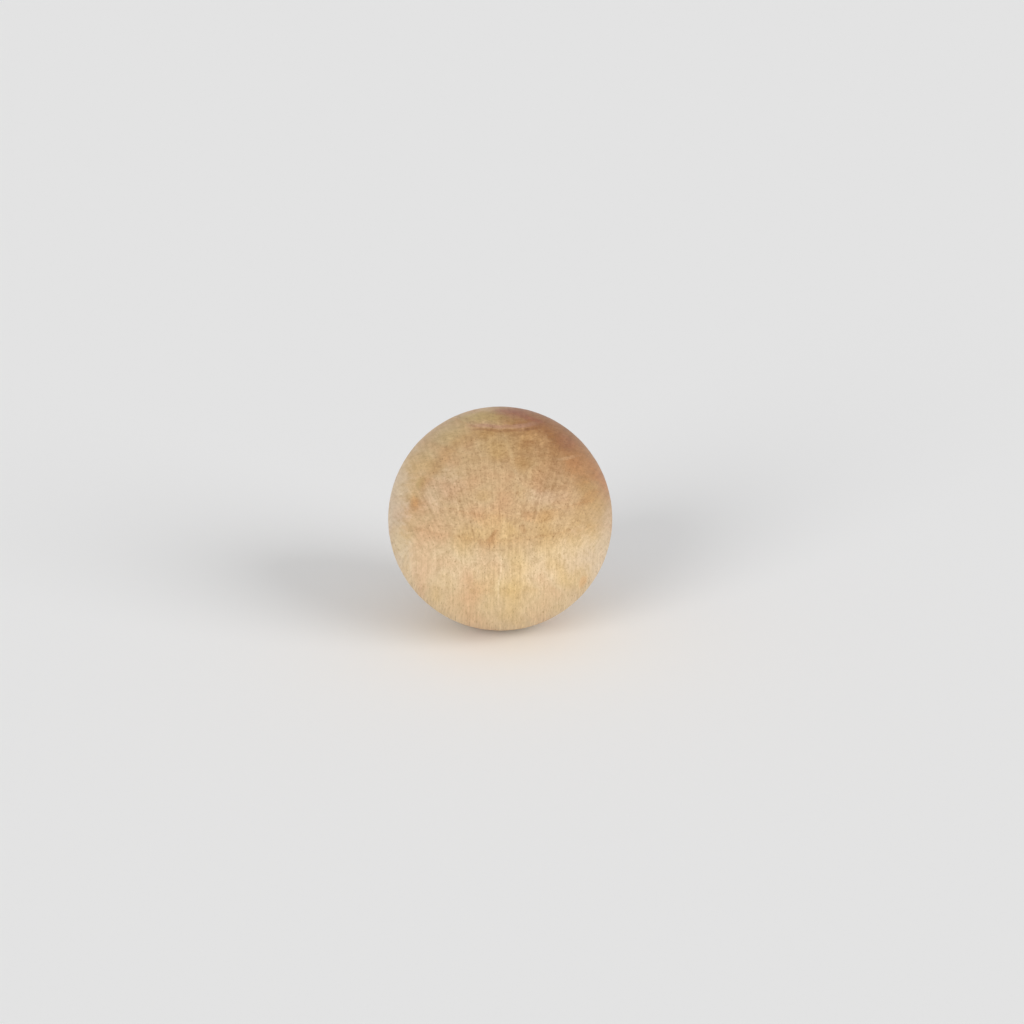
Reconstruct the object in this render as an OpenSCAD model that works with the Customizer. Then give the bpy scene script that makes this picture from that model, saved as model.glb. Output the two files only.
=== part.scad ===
// Plain wooden ball for a bench, a desk or a craft box.
// It is one solid piece, turned and sanded to a true sphere: no bore, no flat, no seam.
// Its centre is the origin, and it lies with +Z up on its lowest point.

/* [Ball] */
// Diameter of the finished ball
ball_d = 25; // [10:0.5:50]

/* [Preview] */
// Facets round the ball in a mesh preview, where the solid itself stays a true sphere
preview_facets = 128; // [32:8:256]

/* [Hidden] */

// Bare, pale hardwood
wood_colour = "#DAB384";

// The whole ball, as it leaves the lathe and the sanding drum
module ball() {
    color(wood_colour)
        sphere(d = ball_d, $fn = preview_facets);
}

ball();
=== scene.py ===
# %% [markdown]
# # A plain birch ball
# The real object is a small ball, 25 mm across, turned from one piece of pale birch and sanded.
# It has no finish on it, no hole and no flat, so everything the eye gets comes from the wood itself:
# end grain facing forwards and up, long grain round the sides, growth rings, rays, pores and a
# red-brown streak of heartwood. A CAD solid already fixes its size and place, and the lesson dresses it.
# First the solid is loaded. Everything is in metres, and the ball's centre is the origin.

import math

import bmesh
import bpy
import numpy as np
from mathutils import Matrix, Vector, noise


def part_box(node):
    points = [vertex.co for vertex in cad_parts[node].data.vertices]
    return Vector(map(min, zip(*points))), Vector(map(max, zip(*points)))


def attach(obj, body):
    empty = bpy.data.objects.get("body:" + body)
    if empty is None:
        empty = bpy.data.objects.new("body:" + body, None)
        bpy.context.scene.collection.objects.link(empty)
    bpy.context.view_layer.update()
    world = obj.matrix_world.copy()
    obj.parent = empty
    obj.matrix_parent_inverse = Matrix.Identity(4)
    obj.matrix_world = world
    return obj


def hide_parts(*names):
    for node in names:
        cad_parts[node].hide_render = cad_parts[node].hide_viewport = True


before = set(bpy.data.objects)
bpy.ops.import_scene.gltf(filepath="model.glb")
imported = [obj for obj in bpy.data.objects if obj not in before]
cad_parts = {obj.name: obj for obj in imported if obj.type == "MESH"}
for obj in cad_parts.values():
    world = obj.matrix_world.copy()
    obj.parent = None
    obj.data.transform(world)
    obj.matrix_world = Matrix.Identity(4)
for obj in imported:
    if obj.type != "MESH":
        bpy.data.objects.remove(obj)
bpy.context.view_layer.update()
MM = 0.001
lowest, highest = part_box("ball")
radius = max(highest - lowest) / 2
radius_mm = radius / MM
print(f"ball: {2 * radius_mm:.2f} mm across, resting at z = {lowest.z / MM:.2f} mm")

# %% [markdown]
# ## The camera
# A small thing on a table is usually looked at from a little above, here 21 degrees. A long lens
# keeps the outline a true circle. The distance follows from how much of the frame the ball fills:
# the outline's radius, as a share of the frame's width, is the tangent of an angle, and the camera
# stands where the ball's edge is seen at that angle. The aim is a touch above and beside the centre,
# so that the ball sits a little low and to the left in the frame.

# %% Stand the camera
LENS_MM = 100
SENSOR_MM = 36
LOOK_DOWN = math.radians(21)
OUTLINE_SHARE = 0.1097
AIM_RIGHT, AIM_UP = 1.31 * MM, 0.73 * MM
NEAREST_SEEN, FARTHEST_SEEN = 1 * MM, 20

towards_camera = Vector((0, -math.cos(LOOK_DOWN), math.sin(LOOK_DOWN)))
screen_right = Vector((1, 0, 0))
screen_up = Vector((0, math.sin(LOOK_DOWN), math.cos(LOOK_DOWN)))
edge_angle = math.atan(OUTLINE_SHARE * SENSOR_MM / LENS_MM)
distance = radius / math.sin(edge_angle)

camera_data = bpy.data.cameras.new("camera")
camera_data.lens = LENS_MM
camera_data.sensor_width = SENSOR_MM
camera_data.clip_start = NEAREST_SEEN
camera_data.clip_end = FARTHEST_SEEN
camera = bpy.data.objects.new("camera", camera_data)
bpy.context.scene.collection.objects.link(camera)
camera.location = AIM_RIGHT * screen_right + AIM_UP * screen_up + distance * towards_camera
camera.rotation_mode = "QUATERNION"
camera.rotation_quaternion = towards_camera.to_track_quat("Z", "Y")
bpy.context.scene.camera = camera
bpy.context.scene.view_settings.view_transform = "Standard"
print(f"camera: {distance / MM:.0f} mm from the ball")

# %% [markdown]
# ## Colours and nodes
# Colours are written the way a paint card or a screen gives them, as sRGB hex. Blender's shaders
# add up light, so they want linear values, and one function turns the first into the second.
# A material is a tree of small nodes. One function adds a node, sets its properties and fills its
# sockets, by name or by place, with plain values or with the nodes that feed them.

# %% From a hex colour to linear light
def linear(hex_colour):
    """The RGBA that a shader wants for an sRGB colour such as "#D9BC95"."""
    parts = [int(hex_colour[i : i + 2], 16) / 255 for i in (1, 3, 5)]
    light = [p / 12.92 if p <= 0.04045 else ((p + 0.055) / 1.055) ** 2.4 for p in parts]
    return (*light, 1)


print("white is", linear("#FFFFFF"), "and mid grey is", linear("#808080")[0])

# %% One function that adds a node
def live(sockets, key=0):
    """The socket meant by a name or a place, among those the node is using."""
    shown = [socket for socket in sockets if socket.enabled]
    if isinstance(key, int):
        return shown[key]
    return next(socket for socket in shown if socket.name == key)


def add(tree, kind, inputs=(), **settings):
    """Adds a node. inputs is a list, or a dict by socket name, of values, nodes or sockets."""
    node = tree.nodes.new("ShaderNode" + kind)
    for name, value in settings.items():
        setattr(node, name, value)
    pairs = inputs.items() if isinstance(inputs, dict) else enumerate(inputs)
    for key, value in pairs:
        if isinstance(value, bpy.types.Node):
            value = live(value.outputs)
        if isinstance(value, bpy.types.NodeSocket):
            tree.links.new(value, live(node.inputs, key))
        else:
            live(node.inputs, key).default_value = value
    return node


print("add: ready")

# %% [markdown]
# ## The floor
# The ball lies on a plain pale sheet. A flat disc three metres from middle to edge is enough, since
# nothing of it is seen but the soft shadows. Matt paper or board reflects nearly all light and has
# almost no shine, so its roughness is high and its specular level low.

# %% A plain pale floor
FLOOR_RADIUS = 3
bpy.ops.mesh.primitive_circle_add(
    vertices=96, radius=FLOOR_RADIUS, fill_type="NGON", location=(0, 0, lowest.z)
)
floor = bpy.context.object
floor.name = "floor"
matt_board = bpy.data.materials.new("matt_white_board")
matt_board.use_nodes = True
board_shader = matt_board.node_tree.nodes["Principled BSDF"]
board_shader.inputs["Base Color"].default_value = linear("#F6F6F6")
board_shader.inputs["Roughness"].default_value = 0.9
board_shader.inputs["Specular IOR Level"].default_value = 0.2
floor.data.materials.append(matt_board)
print("floor: at z =", round(floor.location.z / MM, 2), "mm")

# %% [markdown]
# ## The light
# Two soft boxes stand in front of the ball, left and right of the camera, and a white room fills in
# the rest. Each soft box is a sun with a wide angle: it lights evenly, needs no distance, and its
# shadow has the wide soft edge of a large lamp.

# %% Two soft boxes
# name: (degrees round from the camera, right is plus; degrees up; width in degrees; strength)
SOFT_BOXES = {
    "soft_box_left": (-33, 22.6, 30, 1.26),
    "soft_box_right": (56.5, 26.2, 37.5, 1.33),
}
for name, (round_deg, up_deg, width_deg, strength) in SOFT_BOXES.items():
    lamp = bpy.data.lights.new(name, "SUN")
    lamp.energy = strength
    lamp.angle = math.radians(width_deg)
    holder = bpy.data.objects.new(name, lamp)
    bpy.context.scene.collection.objects.link(holder)
    turn, lift = math.radians(round_deg), math.radians(up_deg)
    towards_lamp = Vector(
        (math.sin(turn) * math.cos(lift), -math.cos(turn) * math.cos(lift), math.sin(lift))
    )
    holder.rotation_mode = "QUATERNION"
    holder.rotation_quaternion = towards_lamp.to_track_quat("Z", "Y")
    print(f"{name}: {up_deg} degrees up, {width_deg} degrees wide, strength {strength}")

# %% [markdown]
# The room is the world. It lights the ball evenly, and what the camera sees behind the floor is only
# a colour, the same as the lit floor, so the sheet seems to have no end. Light Path tells the two
# apart: it knows whether a ray comes from the camera, a mirror or glass, or is light that fills in.

# %% The white room
ROOM_LIGHT = 0.49
world = bpy.data.worlds.new("white_room")
bpy.context.scene.world = world
world.use_nodes = True
room = world.node_tree
room.nodes.clear()
path = add(room, "LightPath")
seen_rays = [path.outputs["Is Camera Ray"], path.outputs["Is Glossy Ray"]]
seen = add(room, "Math", seen_rays, operation="MAXIMUM")
seen = add(room, "Math", [seen, path.outputs["Is Transmission Ray"]], operation="MAXIMUM")
fill = add(room, "Background", {"Color": linear("#FFFFFF"), "Strength": ROOM_LIGHT})
behind = add(room, "Background", {"Color": linear("#E3E3E3"), "Strength": 1})
both = add(room, "MixShader", [seen, fill, behind])
add(room, "OutputWorld", {"Surface": both})
print("room:", len(room.nodes), "nodes")

# %% [markdown]
# ## How the ball lies in the tree
# Wood looks different from each side because it is a bundle of straws. So the wood's own directions
# come first: along the trunk, towards the pith at the tree's middle, and across both. Here the trunk
# runs towards the viewer and up by 35 degrees, which is why end grain faces that way. The pith would
# be a little outside the ball, above and behind. Every pattern later is laid out in these directions.

# %% The wood's own directions
TRUNK_UP = math.radians(34.7)
TRUNK_RIGHT = math.radians(1.8)
trunk = Vector(
    (
        math.sin(TRUNK_RIGHT) * math.cos(TRUNK_UP),
        -math.cos(TRUNK_RIGHT) * math.cos(TRUNK_UP),
        math.sin(TRUNK_UP),
    )
)
pithward = (screen_up - screen_up.dot(trunk) * trunk).normalized()
across = pithward.cross(trunk).normalized()
wood_turn = Matrix((across, pithward, trunk))
print("trunk", tuple(round(c, 3) for c in trunk), "pithward", tuple(round(c, 3) for c in pithward))

# %% [markdown]
# ## Growth rings, worked out once
# A tree adds a ring each year. On one side of a leaning trunk the rings are wider, so they are
# circles whose middles drift. A point's ring distance is its distance from the pith, less a share of
# how far it lies on the pith's side. A slow wobble, with hardly any change along the trunk, makes it
# a tree and not a pipe, and the rings are a touch narrower sideways. Blender's vector noise starts
# from the clock unless it has a seed, so it gets one here, and the same tree grows on every run.
# The shape and the colour both need this number, so it is worked out point by point in Python.

# %% Ring distance of a point in the wood
PITH_MM = 12.75
DRIFT = 0.2
SIDEWAYS = 0.98
WOBBLE_MM = 0.45
WOBBLE_SIZE_MM = 9.0
WOBBLE_ALONG = 0.35
SEED = 25
noise.seed_set(SEED)


def ring_distance(across_mm, pithward_mm, trunk_mm):
    """How far out in the rings a point is, in mm, measured below the pith."""
    spot = Vector((across_mm, pithward_mm, trunk_mm * WOBBLE_ALONG)) / WOBBLE_SIZE_MM
    wobble = noise.noise_vector(spot) * WOBBLE_MM
    side = across_mm + wobble.x
    toward = pithward_mm + wobble.y - PITH_MM
    return math.hypot(SIDEWAYS * side, toward) - DRIFT * toward


for spot in ((0, -12, 0), (0, 0, 12), (0, 8, 9), (9, 0, 8)):
    print("across, pithward, trunk", spot, "-> ring distance", round(ring_distance(*spot), 2), "mm")

# %% [markdown]
# ## The ball's own mesh
# A globe with poles crowds its points together at the top and bottom. A cube blown up into a ball
# doesn't: each of its six sides is a grid, and bending the grid lines by a tangent keeps the squares
# nearly the same size. At 128 squares a side each is 0.15 mm, small enough for real relief on the
# surface. They are laid one by one in a fixed order, because Blender's own subdivide may number its
# points differently each time, and this ball should come out the same on every run.

# %% A cube, cut into even squares
STEPS = 128
ball_mesh = bmesh.new()
cube_points = {}


def cube_point(place):
    """The point at a place, counted in squares along x, y and z. Each is made once and shared."""
    if place not in cube_points:
        cube_points[place] = ball_mesh.verts.new([2 * n / STEPS - 1 for n in place])
    return cube_points[place]


for axis in range(3):
    for end in (0, STEPS):
        faces_out = (end == STEPS) != (axis == 1)
        for s in range(STEPS):
            for t in range(STEPS):
                corners = [(s, t), (s + 1, t), (s + 1, t + 1), (s, t + 1)]
                if not faces_out:
                    corners.reverse()
                places = [(*pair[:axis], end, *pair[axis:]) for pair in corners]
                ball_mesh.faces.new([cube_point(place) for place in places])
print("cube:", len(ball_mesh.verts), "points,", len(ball_mesh.faces), "squares")

# %% [markdown]
# Each side of the cube is also a flat square on paper. Laid out three by two with a thin border,
# the sides make a map of the ball without stretching, for any tool that needs one later.

# %% The six sides laid flat
MAP_BORDER = 0.004
map_layer = ball_mesh.loops.layers.uv.new("OFBake")
for face in ball_mesh.faces:
    middle = face.calc_center_median()
    axis = max(range(3), key=lambda i: abs(middle[i]))
    column, row = axis, int(middle[axis] > 0)
    flat = [i for i in range(3) if i != axis]
    for corner in face.loops:
        s, t = ((corner.vert.co[i] + 1) / 2 for i in flat)
        s, t = (MAP_BORDER + n * (1 - 2 * MAP_BORDER) for n in (s, t))
        corner[map_layer].uv = ((column + s) / 3, (row + t) / 2)
print("map:", len(ball_mesh.faces), "squares placed")

# %% [markdown]
# Now every point of the cube is moved out to the same distance from the middle. The tangent comes
# first: it moves the grid lines so that the squares near a cube's corner don't end up the smallest.

# %% Blow the cube up into a ball
for vert in ball_mesh.verts:
    bent = Vector([math.tan(c * math.pi / 4) for c in vert.co])
    vert.co = bent.normalized()
ball_data = bpy.data.meshes.new("birch_ball")
ball_mesh.to_mesh(ball_data)
ball_mesh.free()
directions = np.empty(len(ball_data.vertices) * 3)
ball_data.vertices.foreach_get("co", directions)
directions = directions.reshape(-1, 3)
print("ball:", len(directions), "points")

# %% [markdown]
# ## Real relief
# A sanded ball is never quite true. Spring wood is softer and is sanded a little deeper than the hard
# late wood that ends each ring, so the rings stand up by about a hundredth of a millimetre. It also
# dries more across than along, so the ball is a hair shorter across the grain. And in the drum the
# balls knock together, which leaves a few shallow dents. All of it is moved into the mesh here.

# %% Where each point is in the wood, and its ring distance
wood_axes = np.array(wood_turn)
in_wood = directions @ wood_axes.T * radius_mm
ring_mm = np.array([ring_distance(*point) for point in in_wood])
print("ring distance: from", round(ring_mm.min(), 1), "to", round(ring_mm.max(), 1), "mm")

# %% Rings, drying and sanding
# where each year ends, in mm of ring distance: how strong its line is
RING_LINES = {3.4: 0.5, 6.35: 1.0, 11.0: 0.3, 15.6: 0.35, 18.4: 0.5, 21.3: 0.45, 24.3: 0.1, 27.2: 0.2}
RIDGE_MM, RIDGE_WIDTH_MM = 0.010, 0.22
DRYING_MM = 0.030
SANDING_MM, SANDING_SIZE_MM = 0.008, 3.2
ring_ridge = sum(RIDGE_MM * np.exp(-(((ring_mm - line) / RIDGE_WIDTH_MM) ** 2)) for line in RING_LINES)
drying = -DRYING_MM * (1 - (in_wood[:, 2] / radius_mm) ** 2)
sanding = np.array([SANDING_MM * noise.noise(Vector(point) / SANDING_SIZE_MM) for point in in_wood])
relief_mm = ring_ridge + drying + sanding
print("relief:", round(np.ptp(relief_mm), 3), "mm from lowest to highest")

# %% [markdown]
# A dent is a shallow dish, deepest in its middle and with no rim. Each gets a direction from the
# ball's centre, a size and a depth from a seeded draw, so that the same dents come out every time.
# The whole surface then lies a hair lower, which keeps the ball inside the CAD ball's box.

# %% A few dents from the drum
DENTS = 26
DENT_SIZES_MM = (0.35, 0.9)
DENT_DEPTHS_MM = (0.008, 0.026)
LOWER_MM = 0.005
rng = np.random.default_rng(SEED)
dents = rng.normal(size=(DENTS, 3))
dents /= np.linalg.norm(dents, axis=1)[:, None]
for dent in dents:
    size, depth = rng.uniform(*DENT_SIZES_MM), rng.uniform(*DENT_DEPTHS_MM)
    away = np.linalg.norm(directions - dent, axis=1) * radius_mm
    relief_mm -= depth * np.exp(-((away / size) ** 2))
points = directions * (radius_mm + relief_mm - LOWER_MM)[:, None] * MM
print("dents:", len(dents))

# %% Put the ball in the scene
# Each point also keeps its ring distance, for the material to read
ball_data.vertices.foreach_set("co", points.ravel())
ball_data.polygons.foreach_set("use_smooth", np.ones(len(ball_data.polygons), bool))
kept_rings = ball_data.attributes.new("ring_mm", "FLOAT", "POINT")
kept_rings.data.foreach_set("value", ring_mm)
ball_data.update()
birch_ball = bpy.data.objects.new("birch_ball", ball_data)
bpy.context.scene.collection.objects.link(birch_ball)
print("ball object:", tuple(round(side / MM, 2) for side in birch_ball.dimensions), "mm")

# %% [markdown]
# ## Sanded birch: the plan
# The material is bare birch, turned and then sanded to about 240 grit. Bare wood has no film on it,
# so its shine is broad and dull, with the IOR of dry wood, about 1.5. The patterns are solid: they
# are laid out in the wood's own directions and the ball's surface cuts through them, which is what a
# lathe does. That is why no side needs its own picture, and why the grain joins up all the way round.
# Real grain is never dead straight, so one slow noise also makes a second set of places, in_mm, that
# wander sideways by less than a millimetre. Soft things such as stains use it, and pores don't.

# %% Start the material with the wood's own directions, in mm
WANDER_MM, WANDERS_PER_MM = 1.6, 0.11
birch = bpy.data.materials.new("sanded_birch")
birch.use_nodes = True
wood = birch.node_tree
wood.nodes.clear()
place = add(wood, "TexCoord").outputs["Object"]
turned = add(
    wood,
    "Mapping",
    {"Vector": place, "Rotation": wood_turn.to_euler(), "Scale": (1 / MM, 1 / MM, 1 / MM)},
)
wander = add(wood, "TexNoise", {"Vector": turned, "Scale": WANDERS_PER_MM, "Detail": 2})
wander = add(wood, "VectorMath", [wander.outputs["Color"], (0.5, 0.5, 0.5)], operation="SUBTRACT")
sideways = (WANDER_MM, WANDER_MM, 0.0)
in_mm = add(wood, "VectorMath", [wander, sideways, turned], operation="MULTIPLY_ADD")
cut = add(wood, "SeparateXYZ", [in_mm])
side_mm, pith_side_mm, along_mm = cut.outputs
print("wood directions: ready")

# %% [markdown]
# Where the surface cuts the straws square, it is end grain: thirsty, matt and darker. Where it runs
# beside them, it is long grain: paler and with a slight silk. On a ball, how square the cut is can
# be read from how far along the trunk the point lies: 0 beside the straws, 1 straight across them.

# %% End grain or long grain
END_GRAIN_FROM = 0.62
squareness = add(wood, "Math", [along_mm, radius_mm], operation="DIVIDE")
squareness = add(wood, "Math", [squareness], operation="ABSOLUTE")
end_grain = add(
    wood,
    "MapRange",
    {"Value": squareness, "From Min": END_GRAIN_FROM, "From Max": 1.0},
    interpolation_type="SMOOTHSTEP",
)
print("end grain: within", round(math.degrees(math.acos(END_GRAIN_FROM))), "degrees of the trunk")

# %% [markdown]
# ## Fibres
# Birch fibres are about 0.025 mm wide and 1 mm long, far too fine to show. They lie in strands and
# bundles, though, and those show as two noises stretched along the trunk. The crisp part of the grain
# is the cells themselves: a Voronoi pattern gives each of them one tone of its own. They are drawn
# 0.13 and 0.25 mm wide, far coarser than real fibres, so that they still show. The pattern is flat and
# runs on along the trunk, so the ball's curve alone cuts it into dots in front and dashes at the sides.
# Towards the pith everything is a little longer than across, and the rays' sheets fan out as they rise.

# %% Places that fan out towards the pith
FAN_FROM_MM, FAN_TO_MM = -5, 12.5
FAN_WIDTH = 2.2
straight = add(wood, "SeparateXYZ", [turned])
fan = add(
    wood,
    "MapRange",
    {
        "Value": straight.outputs["Y"],
        "From Min": FAN_FROM_MM,
        "From Max": FAN_TO_MM,
        "To Min": 1,
        "To Max": FAN_WIDTH,
    },
)
fanned = add(wood, "Math", [straight.outputs["X"], fan], operation="DIVIDE")
fanned_mm = add(wood, "CombineXYZ", [fanned, straight.outputs["Y"], straight.outputs["Z"]])
print("fan:", FAN_WIDTH, "times as wide at the pith's side")

# %% Bundles and strands
# name: (width across, width towards the pith, length, all in mm; octaves)
FIBRES = {"bundle": (1.3, 2.2, 30, 2.0), "strand": (0.36, 0.56, 30, 3.0)}
# how strong each finer octave is, against the one before it
FINE_SHARE = 0.62
grain = {}
for name, (across_mm, toward_mm, length_mm, octaves) in FIBRES.items():
    shape = (1 / across_mm, 1 / toward_mm, 1 / length_mm)
    stretched = add(wood, "VectorMath", [fanned_mm, shape], operation="MULTIPLY")
    look = {"Vector": stretched, "Scale": 1, "Detail": octaves, "Roughness": FINE_SHARE}
    layer = add(wood, "TexNoise", look)
    grain[name] = add(wood, "Math", [layer, 0.5], operation="SUBTRACT")
print("grain layers:", ", ".join(grain))

# %% Fibres, each with a tone of its own
# name: (width across, width towards the pith, in mm)
CELLS = {"thread": (0.25, 0.33), "fibre": (0.13, 0.17)}
for name, (across_mm, toward_mm) in CELLS.items():
    shape = (1 / across_mm, 1 / toward_mm, 0)
    squeezed = add(wood, "VectorMath", [fanned_mm, shape], operation="MULTIPLY")
    cells = add(wood, "TexVoronoi", {"Vector": squeezed, "Scale": 1}, voronoi_dimensions="2D")
    cell_tone = add(wood, "SeparateXYZ", [cells.outputs["Color"]])
    grain[name] = add(wood, "Math", [cell_tone, 0.5], operation="SUBTRACT")
print("fibres: in", len(CELLS), "sizes")

# %% [markdown]
# ## Rings
# Years differ: some rings are three millimetres wide and some nearly five. Each ends in a line of
# dense dark wood, and the start of the next year is still honey-coloured before it turns pale.
# The fibres make the lines ragged. A colour ramp over the ring distance holds the whole table.

# %% A ramp from a table
def ramp(tree, driver, span, rows):
    """A colour ramp: rows are (value, RGBA) pairs, and span is the value at the ramp's end."""
    share = add(tree, "Math", [driver, span], operation="DIVIDE")
    node = add(tree, "ValToRGB", [share])
    stops = node.color_ramp.elements
    while len(stops) < len(rows):
        stops.new(0.5)
    for stop, (value, colour) in zip(stops, sorted(rows)):
        stop.position = value / span
        stop.color = colour
    return node


print("ramp: ready")

# %% Growth rings
LAST_RING_MM = 31
STRAND_RAG_MM, FIBRE_RAG_MM = 0.6, 0.25
# mm from the year's end: share of the line's strength
LINE_SHAPE = {-0.3: 0, 0: 1, 0.15: 0.5, 1.4: 0}
ring = add(wood, "Attribute", attribute_name="ring_mm").outputs["Fac"]
ring = add(wood, "Math", [grain["strand"], STRAND_RAG_MM, ring], operation="MULTIPLY_ADD")
ring = add(wood, "Math", [grain["fibre"], FIBRE_RAG_MM, ring], operation="MULTIPLY_ADD")
line_rows = []
for line, strength in RING_LINES.items():
    for beyond, share in LINE_SHAPE.items():
        dark = share * strength
        line_rows.append((line + beyond, (dark, dark, dark, 1)))
ring_dark = ramp(wood, ring, LAST_RING_MM, line_rows)
print("rings:", len(RING_LINES))

# %% [markdown]
# ## From inner wood to sapwood
# The outer wood of the tree carried its sap and stays pale. The older inner wood is a shade browner,
# and a thin brown line marks the innermost year. The change to sapwood follows a ring, and takes two
# or three millimetres.

# %% The wood's colour, from the pith outwards
# ring distance in mm: colour
WOOD_TONES = {
    5.4: "#C9A87A",
    5.7: "#B38D62",
    6.0: "#C9A87A",
    13: "#CDAD81",
    17: "#D0B084",
    21: "#CFAE80",
    23.4: "#D9BE95",
    25.5: "#DCC098",
    28.5: "#D8BC90",
}
tone_rows = [(where, linear(wood_tone)) for where, wood_tone in WOOD_TONES.items()]
colour = ramp(wood, ring, LAST_RING_MM, tone_rows)
print("wood tones:", len(WOOD_TONES))

# %% [markdown]
# ## Red heart
# Birch often has a red-brown heart. It is a stain that has crept through the wood: here it has taken
# the upper right side of the ball and runs along the trunk. It thins out slowly in two directions,
# to the left across the rays and downwards away from the pith. Each is a soft step over a distance
# from a corner, and the heart is the two multiplied. Slow waves and the strands make its edge uneven.

# %% Waves, for everything that crept or grew unevenly
WAVES_PER_MM = (0.40, 0.40, 0.06)
waves = add(wood, "VectorMath", [in_mm, WAVES_PER_MM], operation="MULTIPLY")
waves = add(wood, "TexNoise", {"Vector": waves, "Scale": 1, "Detail": 3, "Roughness": 0.5})
waves = add(wood, "Math", [waves, 0.5], operation="SUBTRACT")
print("waves: one in about", 1 / WAVES_PER_MM[0], "mm")

# %% The red heart
CORNER_MM = (4.0, -5.5, 0)
# name: (the way the stain deepens, in degrees from straight across; from and to, in mm)
STAIN_STEPS = {"across the rays": (11, -3.9, 3.2), "towards the pith": (95, 0, 17.4)}
STAIN_WAVE_MM, STAIN_RAG_MM = 4.0, 1.5
flat_spot = add(wood, "CombineXYZ", [side_mm, pith_side_mm, 0.0])
from_corner = add(wood, "VectorMath", [flat_spot, CORNER_MM], operation="SUBTRACT")
red_heart = 1.0
for name, (bearing_deg, start_mm, end_mm) in STAIN_STEPS.items():
    bearing = math.radians(bearing_deg)
    inward = (math.cos(bearing), math.sin(bearing), 0)
    depth = add(wood, "VectorMath", [from_corner, inward], operation="DOT_PRODUCT").outputs["Value"]
    depth = add(wood, "Math", [waves, STAIN_WAVE_MM, depth], operation="MULTIPLY_ADD")
    depth = add(wood, "Math", [grain["strand"], STAIN_RAG_MM, depth], operation="MULTIPLY_ADD")
    step = add(
        wood,
        "MapRange",
        {"Value": depth, "From Min": start_mm, "From Max": end_mm},
        interpolation_type="SMOOTHSTEP",
    )
    red_heart = add(wood, "Math", [step, red_heart], operation="MULTIPLY")
    print("red heart:", name, "over", end_mm - start_mm, "mm")

# %% [markdown]
# ## Rays and pores
# Rays are thin ribbons of soft cells that run out from the pith: 0.05 mm thick, half a millimetre
# tall and many long. On end grain they are fine spokes, on the sides they are small flecks. They are
# a noise squeezed to a ribbon, drawn four times as thick and taller too, so that they still show.

# %% Rays
RAY_MM, RAY_REACH_MM, RAY_HEIGHT_MM = 0.20, 5.0, 3.0
ray_shape = (1 / RAY_MM, 1 / RAY_REACH_MM, 1 / RAY_HEIGHT_MM)
ray_place = add(wood, "VectorMath", [fanned_mm, ray_shape], operation="MULTIPLY")
rays = add(wood, "TexNoise", {"Vector": ray_place, "Scale": 1, "Detail": 1})
rays = add(wood, "Math", [rays, 0.5], operation="SUBTRACT")
print("rays: drawn", RAY_MM, "mm thick")

# %% [markdown]
# Pores are the tubes that carried water, about 0.08 mm wide: dots on end grain and short scratches on
# long grain. They are drawn at that size, a fine and a wide kind, but fewer than there really are.
# Each cell of a flat Voronoi pattern holds one in its middle, and the cell's own random number says
# how dark it is. A birch pore is a little longer towards the pith than across, so the cells are too.

# %% Pores
# name: (mm apart, radius in mm)
PORES = {"fine": (0.19, 0.034), "wide": (0.46, 0.046)}
PORE_EDGE_MM = 0.015
PORE_FLATNESS = 0.8
pores = 0.0
for name, (apart, pore_radius) in PORES.items():
    shape = (1 / apart, PORE_FLATNESS / apart, 0)
    pore_place = add(wood, "VectorMath", [turned, shape], operation="MULTIPLY")
    cells = add(wood, "TexVoronoi", {"Vector": pore_place, "Scale": 1}, voronoi_dimensions="2D")
    lot = add(wood, "SeparateXYZ", [cells.outputs["Color"]])
    pore = add(
        wood,
        "MapRange",
        {
            "Value": cells.outputs["Distance"],
            "From Min": (pore_radius + PORE_EDGE_MM) / apart,
            "From Max": (pore_radius - PORE_EDGE_MM) / apart,
        },
    )
    pores = add(wood, "Math", [pore, lot, pores], operation="MULTIPLY_ADD")
print("pores:", len(PORES), "sizes")

# %% [markdown]
# ## Colour
# On the pale wood go the honey-coloured ring lines, the red heart, and the grey-brown of end grain,
# which takes in more dirt and light than long grain does. Ring lines show better on long grain, so
# they grow about twice as strong away from the end grain that faces the viewer.

# %% Lay the tones
FRONT_MM, BEHIND_MM = 5, -2
LINES_BEHIND = 2.2
RED_HEART, RING_LINE, END_GRAIN = "#966026", "#B88248", "#7E5E40"
lines_by_place = add(
    wood,
    "MapRange",
    {
        "Value": along_mm,
        "From Min": FRONT_MM,
        "From Max": BEHIND_MM,
        "To Min": 1,
        "To Max": LINES_BEHIND,
    },
)
ring_dark = add(wood, "Math", [ring_dark, lines_by_place], operation="MULTIPLY")
for share, amount, laid_tone in (
    (ring_dark, 0.50, RING_LINE),
    (red_heart, 1.12, RED_HEART),
    (end_grain, 0.22, END_GRAIN),
):
    part = add(wood, "Math", [share, amount], operation="MULTIPLY")
    colour = add(wood, "Mix", [part, colour, linear(laid_tone)], data_type="RGBA")
print("tones: laid")

# %% [markdown]
# ## The marks of this one ball
# A tree keeps a record of its injuries. Small brown flecks are healed tracks of insects, pale lines are
# wide rays, and patches of straw or pink are where sap once ran. Two pale patches at the very left and
# right rims are painted reflection, the pale sheen a rim catches from the white room. Each mark is a
# soft-edged ellipsoid in the wood, longer along the trunk, given by where it is, how big it is and how
# it leans. The waves and the strands push its edge in and out, so that none of them looks drawn with a
# compass.

# %% Flecks, lines and patches
BROWN, HONEY, AMBER = "#9A662E", "#C68E4A", "#B06E2A"
STRAW, WINE, PALE = "#B09552", "#8E4228", "#EBD3AC"
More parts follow.
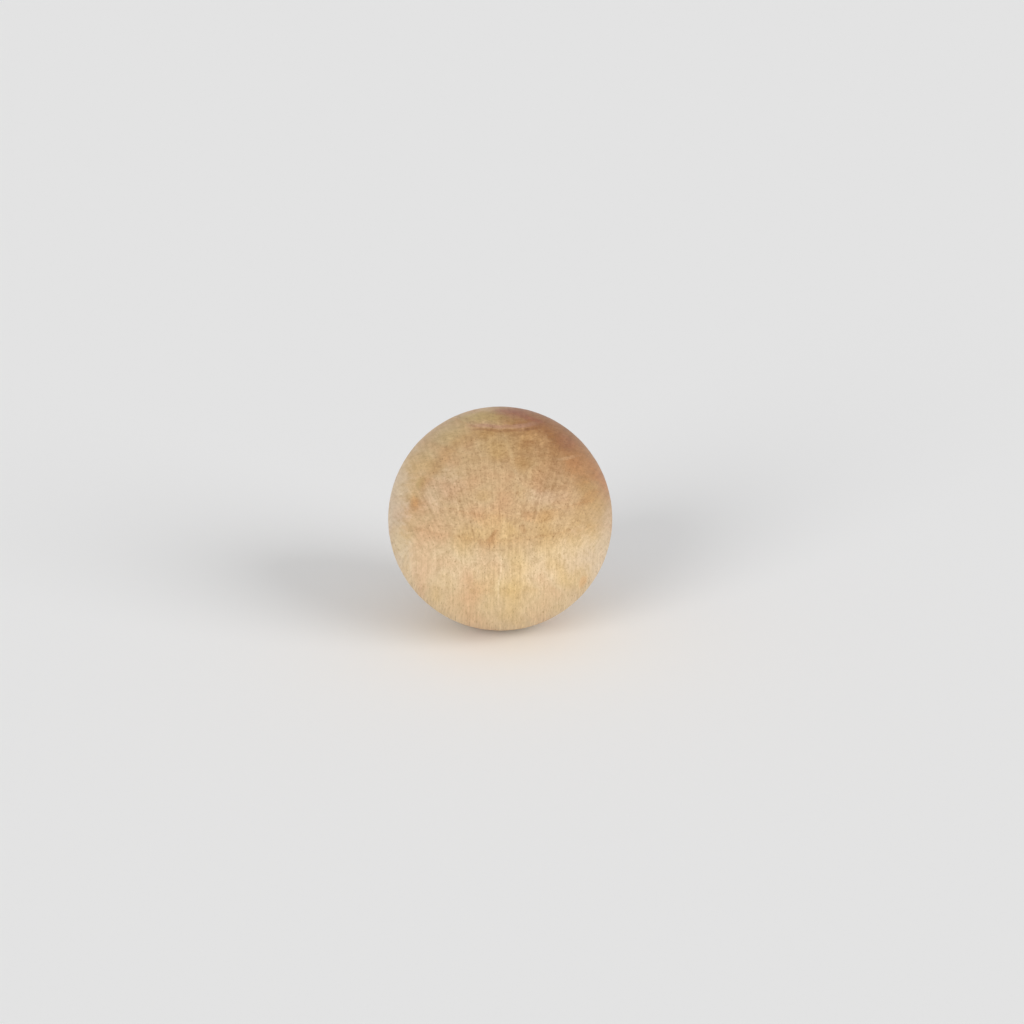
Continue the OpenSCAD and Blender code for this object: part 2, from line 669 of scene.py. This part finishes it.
# (across, pithward, along), (half sizes), all in mm; lean in degrees, tone, strength
MARKS = (
    # straw patches, high on the left
    ((-6.2, 7.6, 7.0), (4.2, 2.2, 5.0), 35, "#B3A270", 0.26),
    ((-1.6, 9.5, 6.4), (4.0, 1.1, 7.0), 0, STRAW, 0.55),
    # paler wood on the left and the right; the two marks at the very rims are painted reflection
    ((-8.0, -2.4, 9.5), (2.8, 3.4, 6.0), 0, "#D8C2A2", 0.16),
    ((-6.8, 0.8, 9.8), (2.8, 2.4, 6.0), 0, "#D2BEA8", 0.20),
    # painted reflection: the pale sheen at the left rim, laid into the colour
    ((-12.0, 0.4, 4.0), (3.0, 8.4, 4.5), 0, "#D8CAB8", 0.40),
    # painted reflection: the pale sheen low on the right rim, laid into the colour
    ((12.0, -4.0, 3.5), (2.8, 4.6, 4.5), 0, "#DCCCBA", 0.17),
    ((8.6, -5.6, 7.6), (2.8, 3.0, 4.0), 30, "#DCC6B4", 0.26),
    # honey and sand, from below the middle to the right
    ((-0.4, -9.0, 7.8), (3.4, 2.0, 4.0), 0, "#C6A868", 0.30),
    ((-1.4, -4.0, 11.7), (2.3, 2.0, 4.0), 0, "#F2CE88", 0.18),
    ((4.2, -2.4, 11.5), (2.6, 0.7, 3.0), 10, HONEY, 0.18),
    ((8.8, -1.8, 8.6), (2.4, 1.1, 4.0), 30, "#AE8A5C", 0.22),
    # where the heart reaches down the right side
    ((8.6, 4.2, 8.0), (2.8, 2.2, 5.0), 50, AMBER, 0.38),
    ((11.0, 3.8, 4.6), (2.0, 3.0, 4.0), 0, AMBER, 0.40),
    ((11.6, 3.2, 3.2), (0.8, 1.1, 1.6), 0, "#BC8246", 0.26),
    ((9.4, 0.5, 8.2), (2.9, 0.6, 3.0), 42, "#B4783E", 0.28),
    # lighter islands and a red one, above the middle
    ((3.8, 3.4, 11.3), (2.0, 2.4, 4.0), 0, "#E4C68C", 0.12),
    ((3.6, 7.0, 9.4), (1.9, 1.5, 3.0), -20, "#CCA472", 0.48),
    ((1.3, 8.8, 8.6), (1.7, 0.9, 3.0), 0, RED_HEART, 0.40),
    # brown flecks in front, honey spots at the left and low on the right
    ((-1.5, -5.0, 11.3), (1.3, 0.45, 3.0), 50, BROWN, 0.22),
    ((-1.4, -4.7, 11.3), (0.8, 0.25, 3.0), 60, BROWN, 0.34),
    ((-2.6, -5.4, 11.0), (0.6, 0.30, 3.0), 110, BROWN, 0.22),
    ((2.0, -3.9, 11.7), (0.45, 0.50, 2.5), 5, BROWN, 0.32),
    ((-9.5, -0.1, 8.0), (0.7, 1.1, 3.0), 15, HONEY, 0.50),
    ((-9.0, 2.0, 8.4), (0.6, 1.0, 3.0), -15, STRAW, 0.40),
    ((9.1, -7.9, 3.3), (0.8, 0.7, 1.3), 0, "#E2A768", 0.40),
    # wine-red streaks in the heart
    ((1.4, 10.3, 4.4), (2.2, 1.3, 6.5), 0, WINE, 0.58),
    ((3.6, 9.4, 5.6), (1.8, 0.6, 6.0), -20, WINE, 0.45),
    ((6.8, 6.8, 8.0), (1.3, 1.6, 3.0), -30, WINE, 0.30),
    # pale lines
    ((4.4, -0.3, 11.2), (2.8, 0.9, 4.0), 8, "#D8C2A6", 0.24),
    ((7.0, 4.7, 9.2), (1.6, 0.20, 3.0), 22, PALE, 0.12),
    ((0.9, 3.4, 12.0), (0.24, 5.4, 6.0), 15, PALE, 0.10),
    ((-0.3, -8.9, 8.8), (0.18, 3.0, 4.0), 0, PALE, 0.40),
)
# in half sizes from the middle: where a mark is gone, where it is full, and how far its edge moves
MARK_GONE, MARK_FULL = 1.25, 0.35
MARK_RAG, MARK_WAVE = 1.0, 0.9
for centre, half_sizes, lean, mark_tone, strength in MARKS:
    turn = (0, 0, math.radians(lean))
    spot = add(
        wood,
        "Mapping",
        {"Vector": in_mm, "Location": centre, "Rotation": turn, "Scale": half_sizes},
        vector_type="TEXTURE",
    )
    away = add(wood, "VectorMath", [spot], operation="LENGTH").outputs["Value"]
    away = add(wood, "Math", [grain["strand"], MARK_RAG, away], operation="MULTIPLY_ADD")
    away = add(wood, "Math", [waves, MARK_WAVE, away], operation="MULTIPLY_ADD")
    share = add(
        wood,
        "MapRange",
        {"Value": away, "From Min": MARK_GONE, "From Max": MARK_FULL, "To Max": strength},
        interpolation_type="SMOOTHSTEP",
    )
    colour = add(wood, "Mix", [share, colour, linear(mark_tone)], data_type="RGBA")
print("marks:", len(MARKS))

# %% [markdown]
# Birch is also known for its pith flecks, the tracks of a small grub that eats its way up and down the
# living wood. Healed, they are brown threads along the trunk: commas on end grain, streaks on the
# sides. The cells of a Voronoi pattern place them, and only one cell in seven has one. The front of
# the ball has none of these, since the flecks it has are listed above.

# %% Pith flecks
FLECK_SPACING_MM, FLECK_LENGTH_MM, FLECK_SHARE = 3.0, 12.0, 0.15
FLECK_FLATNESS = 1.7
# in cells: how far the pattern is moved along, how far the strands push it, and a fleck's size
FLECK_START = (4.3, 0.6, 2.1)
FLECK_RAG = (0.25, 0.25, 0.0)
FLECK_GONE, FLECK_FULL = 0.20, 0.06
NO_FLECKS_MM, ALL_FLECKS_MM = 5, 1
FLECK_STRENGTH = 0.45
shape = (1 / FLECK_SPACING_MM, FLECK_FLATNESS / FLECK_SPACING_MM, 1 / FLECK_LENGTH_MM)
fleck_place = add(wood, "VectorMath", [in_mm, shape, FLECK_START], operation="MULTIPLY_ADD")
rag = [grain["strand"], FLECK_RAG, fleck_place]
fleck_place = add(wood, "VectorMath", rag, operation="MULTIPLY_ADD")
cells = add(wood, "TexVoronoi", {"Vector": fleck_place, "Scale": 1})
fleck = add(
    wood,
    "MapRange",
    {"Value": cells.outputs["Distance"], "From Min": FLECK_GONE, "From Max": FLECK_FULL},
    interpolation_type="SMOOTHSTEP",
)
lot = add(wood, "SeparateXYZ", [cells.outputs["Color"]])
chosen = add(wood, "Math", [lot, FLECK_SHARE], operation="LESS_THAN")
fleck = add(wood, "Math", [fleck, chosen], operation="MULTIPLY")
behind_front = add(
    wood,
    "MapRange",
    {
        "Value": along_mm,
        "From Min": NO_FLECKS_MM,
        "From Max": ALL_FLECKS_MM,
        "To Max": FLECK_STRENGTH,
    },
)
fleck = add(wood, "Math", [fleck, behind_front], operation="MULTIPLY")
colour = add(wood, "Mix", [fleck, colour, linear(BROWN)], data_type="RGBA")
print("pith flecks: about", round(100 * FLECK_SHARE), "% of the cells")

# %% [markdown]
# Three marks are too long for ellipsoids, so they are drawn as arcs, by their distance from a middle:
# a soft brown band over the upper left, where frost checked a year's growth, and high in front a thin
# seam where the innermost year once came loose and healed, with a pink side and a brown edge. Each
# arc has a soft window on every side, so that it starts and ends without a step.

# %% Arcs
# name: (middle, radius, half width, width of the core, how far its edge moves, tone, strength), in mm
ARCS = {
    "frost band": ((0.0, -2.1, 0.0), 9.4, 1.3, 0.1, 1.6, "#A87636", 0.32),
    "pink seam": ((-1.2, 23.3, 0.0), 15.45, 0.50, 0.10, 0.5, "#BC8E7C", 0.50),
    "brown seam edge": ((-1.2, 23.3, 0.0), 16.02, 0.24, 0.04, 0.5, "#8A5A38", 0.42),
}
STRAND_PART = 0.5
# name: rows of (which way, where it is gone, where it is full), in mm
SEAM_WINDOWS = ((side_mm, -4.6, -2.6), (side_mm, 4.8, 2.8), (along_mm, 2.0, 5.0))
WINDOWS = {
    "frost band": ((side_mm, 1.5, -2.0), (pith_side_mm, -2.0, 2.0)),
    "pink seam": SEAM_WINDOWS,
    "brown seam edge": SEAM_WINDOWS,
}
for name, (middle, arc_radius, half_width, core, fray, arc_tone, strength) in ARCS.items():
    from_middle = add(wood, "VectorMath", [flat_spot, middle], operation="SUBTRACT")
    arc = add(wood, "VectorMath", [from_middle], operation="LENGTH").outputs["Value"]
    arc = add(wood, "Math", [waves, fray, arc], operation="MULTIPLY_ADD")
    arc = add(wood, "Math", [grain["strand"], STRAND_PART * fray, arc], operation="MULTIPLY_ADD")
    arc = add(wood, "Math", [arc, arc_radius], operation="SUBTRACT")
    arc = add(wood, "Math", [arc], operation="ABSOLUTE")
    arc = add(
        wood,
        "MapRange",
        {"Value": arc, "From Min": half_width, "From Max": core, "To Max": strength},
        interpolation_type="SMOOTHSTEP",
    )
    for way, gone, full in WINDOWS[name]:
        window = add(
            wood,
            "MapRange",
            {"Value": way, "From Min": gone, "From Max": full},
            interpolation_type="SMOOTHSTEP",
        )
        arc = add(wood, "Math", [arc, window], operation="MULTIPLY")
    colour = add(wood, "Mix", [arc, colour, linear(arc_tone)], data_type="RGBA")
    print(f"{name}: {2 * half_width:.1f} mm wide")

# %% [markdown]
# No wood has one hue all over. Two slow noises, one patch in six millimetres and one in two or three,
# drift between straw and pink. Each way is a pale tint that multiplies the colour, so that it shifts
# the hue and leaves the pattern under it as it was.

# %% Drift towards straw and pink
# size across the grain in mm: share of the drift
DRIFTS = {6.0: 0.8, 2.6: 0.6}
DRIFT_ALONG = 0.3
FULL_DRIFT = 0.3
# tint: the side of the drift it is on
TINTS = {"#FCF6DE": FULL_DRIFT, "#FFEFEA": -FULL_DRIFT}
drift = 0.0
for size, weight in DRIFTS.items():
    shape = (1 / size, 1 / size, DRIFT_ALONG / size)
    drift_place = add(wood, "VectorMath", [in_mm, shape], operation="MULTIPLY")
    layer = add(wood, "TexNoise", {"Vector": drift_place, "Scale": 1, "Detail": 1})
    layer = add(wood, "Math", [layer, 0.5], operation="SUBTRACT")
    drift = add(wood, "Math", [layer, weight, drift], operation="MULTIPLY_ADD")
for tint, full in TINTS.items():
    share = add(wood, "MapRange", {"Value": drift, "From Min": 0.0, "From Max": full})
    mix = [share, colour, linear(tint)]
    colour = add(wood, "Mix", mix, data_type="RGBA", blend_type="MULTIPLY")
print("drift: added in", len(TINTS), "tints")

# %% [markdown]
# All the grain layers now add up to one number, the grain's tone. Each has a weight for long grain and
# one for end grain, where the straws' open ends show more. Right at the sides, where the surface runs
# beside the straws, the finest lines are a little stronger again. The sum darkens the colour, and blue
# more than red, since dark wood is also warmer.

# %% Darken the grain
# name: (weight on long grain, weight on end grain)
WEIGHTS = {
    "bundle": (0.10, 0.08),
    "strand": (0.50, 0.68),
    "thread": (0.17, 0.34),
    "fibre": (0.08, 0.32),
    "rays": (0.62, 0.75),
    "pores": (0.21, 0.68),
}
LONG_UP_TO, END_FROM = 0.30, 0.85
SHADE_PER_TONE = (-0.46, -0.55, -0.70)
layers = {**grain, "rays": rays, "pores": pores}
grain_tone = 0.0
for name, (long_weight, end_weight) in WEIGHTS.items():
    weight = add(
        wood,
        "MapRange",
        {
            "Value": squareness,
            "From Min": LONG_UP_TO,
            "From Max": END_FROM,
            "To Min": long_weight,
            "To Max": end_weight,
        },
    )
    grain_tone = add(wood, "Math", [layers[name], weight, grain_tone], operation="MULTIPLY_ADD")
print("grain: weighed in", len(WEIGHTS), "layers")

# %% Sharpen the sides and shade the colour
SIDE_FROM, SIDE_FULL = 0.45, 0.10
SIDE_STRENGTH = 0.45
FIBRE_PART = 0.5
side_on = add(
    wood,
    "MapRange",
    {"Value": squareness, "From Min": SIDE_FROM, "From Max": SIDE_FULL, "To Max": SIDE_STRENGTH},
)
fine_lines = add(wood, "Math", [grain["fibre"], FIBRE_PART, pores], operation="MULTIPLY_ADD")
grain_tone = add(wood, "Math", [fine_lines, side_on, grain_tone], operation="MULTIPLY_ADD")
unshaded = (1.0, 1.0, 1.0)
shade = add(wood, "VectorMath", [grain_tone, SHADE_PER_TONE, unshaded], operation="MULTIPLY_ADD")
colour = add(wood, "VectorMath", [colour, shade], operation="MULTIPLY")
print("grain: darkens red by", -SHADE_PER_TONE[0], "and blue by", -SHADE_PER_TONE[2])

# %% [markdown]
# ## Surface
# Sanded bare wood has a roughness of 0.5 to 0.7, and no clear highlight. End grain is the rougher, and
# so is the dark part of the grain, which is open.

# %% Roughness
LONG_GRAIN_ROUGHNESS, END_GRAIN_ROUGHNESS = 0.50, 0.66
ROUGHNESS_PER_TONE = 0.12
rough = add(
    wood,
    "MapRange",
    {"Value": end_grain, "To Min": LONG_GRAIN_ROUGHNESS, "To Max": END_GRAIN_ROUGHNESS},
)
rough = add(wood, "Math", [grain_tone, ROUGHNESS_PER_TONE, rough], operation="MULTIPLY_ADD")
print("roughness:", LONG_GRAIN_ROUGHNESS, "on long grain,", END_GRAIN_ROUGHNESS, "on end grain")

# %% [markdown]
# The mesh already has the large relief. What is finer than its squares is left to bump: the strands
# stand up by about a hundredth of a millimetre, and every pore is a tiny pit.

# %% Bump
BUMP_MM, BUMP_STRENGTH = 0.03, 0.8
STRAND_HEIGHT, FIBRE_HEIGHT, PORE_HEIGHT = 0.4, 0.15, -0.6
height = add(wood, "Math", [grain["strand"], STRAND_HEIGHT], operation="MULTIPLY")
height = add(wood, "Math", [grain["fibre"], FIBRE_HEIGHT, height], operation="MULTIPLY_ADD")
height = add(wood, "Math", [pores, PORE_HEIGHT, height], operation="MULTIPLY_ADD")
bump = add(wood, "Bump", {"Height": height, "Distance": BUMP_MM * MM, "Strength": BUMP_STRENGTH})
print("bump:", BUMP_MM, "mm deep")

# %% [markdown]
# Last comes the shader itself. The IOR is that of dry wood, and a trace of sheen stands for the fuzz
# that sanding leaves, which catches light at the ball's rim.

# %% The shader
DRY_WOOD_IOR = 1.5
SANDING_FUZZ = 0.06
bare_wood = add(
    wood,
    "BsdfPrincipled",
    {
        "Base Color": colour,
        "Roughness": rough,
        "IOR": DRY_WOOD_IOR,
        "Sheen Weight": SANDING_FUZZ,
        "Normal": bump,
    },
)
add(wood, "OutputMaterial", {"Surface": bare_wood})
ball_data.materials.append(birch)
print("sanded birch:", len(wood.nodes), "nodes")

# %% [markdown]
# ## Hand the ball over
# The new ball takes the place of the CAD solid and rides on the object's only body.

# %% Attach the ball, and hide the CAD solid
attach(birch_ball, "root")
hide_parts("ball")
